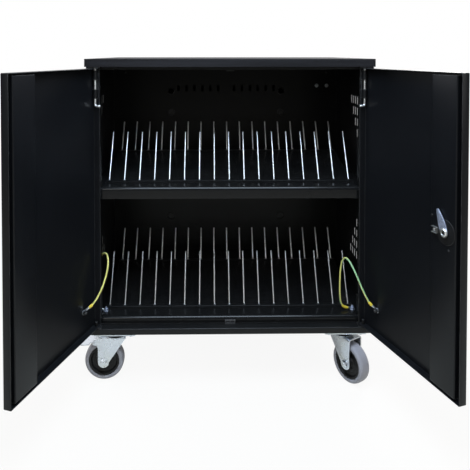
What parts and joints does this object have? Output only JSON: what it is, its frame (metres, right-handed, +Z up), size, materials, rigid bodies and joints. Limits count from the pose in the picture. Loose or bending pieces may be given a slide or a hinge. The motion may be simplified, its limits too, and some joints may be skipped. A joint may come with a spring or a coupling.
{
  "type": "charging cart",
  "caption": "Wheeled steel cabinet with two hinged doors, shelves of wire dividers for charging portable computers, and a rear power compartment.",
  "frame": {"origin": "on the floor, under the centre of the box around the cart with its doors open", "axes": "+X to the right as seen from the doors, +Y to the rear, +Z up"},
  "size_m": [0.909, 0.8226, 0.828],
  "materials": {
    "black_paint": "semi-gloss fine texture",
    "dark_board": "dark laminate, satin",
    "chrome": "bright plated wire",
    "zinc": "zinc plated",
    "black_plastic": "moulded",
    "grey_rubber": "matt",
    "earth_lead": "flexible sleeve"
  },
  "bodies": {
    "cabinet": {"lid": "dark_board", "base_pan": "black_paint", "top_rail": "black_paint", "lower_floor": "black_paint", "upper_shelf": "black_paint", "partition": "black_paint", "rear_panel": "black_paint", "power_inlet": "black_plastic", "strike_plate": "black_paint", "lower_tray": "black_paint", "lower_front_rack": "chrome", "lower_rear_rack": "chrome", "lower_socket_strip": "black_plastic", "upper_tray": "black_paint", "upper_front_rack": "chrome", "upper_rear_rack": "chrome", "upper_socket_strip": "black_plastic", "left_side_panel": "black_paint", "left_front_post": "black_paint", "left_top_hinge_plate": "black_paint", "left_bottom_pivot": "zinc", "left_earth_stud": "zinc", "left_earth_lead": "earth_lead", "right_side_panel": "black_paint", "right_front_post": "black_paint", "right_top_hinge_plate": "black_paint", "right_bottom_pivot": "zinc", "right_earth_stud": "zinc", "right_earth_lead": "earth_lead", "front_left_caster_plate": "zinc", "front_right_caster_plate": "zinc", "rear_left_caster_plate": "zinc", "rear_right_caster_plate": "zinc"},
    "left_door": {"left_door_pan": "black_paint", "left_door_stiffener": "black_paint", "left_pin_bracket": "zinc", "left_door_stud": "zinc"},
    "right_door": {"right_door_pan": "black_paint", "right_door_stiffener": "black_paint", "right_pin_bracket": "zinc", "right_door_stud": "zinc", "lock_dish": "black_plastic"},
    "left_pin": {"left_hinge_pin": "chrome"},
    "right_pin": {"right_hinge_pin": "chrome"},
    "lock": {"lock_handle": "chrome", "lock_cam": "chrome"},
    "front_left_swivel": {"front_left_fork": "zinc"},
    "front_left_wheel": {"front_left_hub": "black_plastic", "front_left_tyre": "grey_rubber"},
    "front_left_brake": {"front_left_brake_pedal": "zinc"},
    "front_right_swivel": {"front_right_fork": "zinc"},
    "front_right_wheel": {"front_right_hub": "black_plastic", "front_right_tyre": "grey_rubber"},
    "rear_left_swivel": {"rear_left_fork": "zinc"},
    "rear_left_wheel": {"rear_left_hub": "black_plastic", "rear_left_tyre": "grey_rubber"},
    "rear_right_swivel": {"rear_right_fork": "zinc"},
    "rear_right_wheel": {"rear_right_hub": "black_plastic", "rear_right_tyre": "grey_rubber"},
    "rear_right_brake": {"rear_right_brake_pedal": "zinc"}
  },
  "joints": [
    {"name": "left_door_hinge", "type": "hinge", "parent": "cabinet", "child": "left_door", "pos_m": [-0.341, -0.08567, 0.476], "axis": [0, 0, 1], "range_deg": [0, 108], "deforming": ["left_earth_lead"]},
    {"name": "right_door_hinge", "type": "hinge", "parent": "cabinet", "child": "right_door", "pos_m": [0.341, -0.08567, 0.476], "axis": [0, 0, -1], "range_deg": [0, 108], "deforming": ["right_earth_lead"]},
    {"name": "left_pin_slide", "type": "slide", "parent": "left_door", "child": "left_pin", "axis": [0, 0, 1], "range_m": [-0.012, 0], "stiffness_N_per_m": 400, "springref_m": 0.008},
    {"name": "right_pin_slide", "type": "slide", "parent": "right_door", "child": "right_pin", "axis": [0, 0, 1], "range_m": [-0.012, 0], "stiffness_N_per_m": 400, "springref_m": 0.008},
    {"name": "lock_turn", "type": "hinge", "parent": "right_door", "child": "lock", "pos_m": [0.43278, -0.36813, 0.48], "axis": [0.9511, 0.309, 0], "range_deg": [0, 115]},
    {"name": "front_left_swivel_turn", "type": "hinge", "parent": "cabinet", "child": "front_left_swivel", "pos_m": [-0.294, -0.05667, 0.11], "axis": [0, 0, 1], "continuous": true},
    {"name": "front_left_wheel_spin", "type": "hinge", "parent": "front_left_swivel", "child": "front_left_wheel", "pos_m": [-0.325, -0.05667, 0.05], "axis": [0, -1, 0], "continuous": true},
    {"name": "front_left_brake_press", "type": "hinge", "parent": "front_left_swivel", "child": "front_left_brake", "pos_m": [-0.348, -0.05667, 0.0995], "axis": [0, -1, 0], "range_deg": [0, 15]},
    {"name": "front_right_swivel_turn", "type": "hinge", "parent": "cabinet", "child": "front_right_swivel", "pos_m": [0.294, -0.05667, 0.11], "axis": [0, 0, 1], "continuous": true},
    {"name": "front_right_wheel_spin", "type": "hinge", "parent": "front_right_swivel", "child": "front_right_wheel", "pos_m": [0.31088, -0.08267, 0.05], "axis": [0.8387, 0.5446, 0], "continuous": true},
    {"name": "rear_left_swivel_turn", "type": "hinge", "parent": "cabinet", "child": "rear_left_swivel", "pos_m": [-0.294, 0.36733, 0.11], "axis": [0, 0, 1], "continuous": true},
    {"name": "rear_left_wheel_spin", "type": "hinge", "parent": "rear_left_swivel", "child": "rear_left_wheel", "pos_m": [-0.3221, 0.35423, 0.05], "axis": [0.4226, -0.9063, 0], "continuous": true},
    {"name": "rear_right_swivel_turn", "type": "hinge", "parent": "cabinet", "child": "rear_right_swivel", "pos_m": [0.294, 0.36733, 0.11], "axis": [0, 0, 1], "continuous": true},
    {"name": "rear_right_wheel_spin", "type": "hinge", "parent": "rear_right_swivel", "child": "rear_right_wheel", "pos_m": [0.3221, 0.35423, 0.05], "axis": [0.4226, 0.9063, 0], "continuous": true},
    {"name": "rear_right_brake_press", "type": "hinge", "parent": "rear_right_swivel", "child": "rear_right_brake", "pos_m": [0.34294, 0.34451, 0.0995], "axis": [0.4226, 0.9063, 0], "range_deg": [0, 15]}
  ]
}
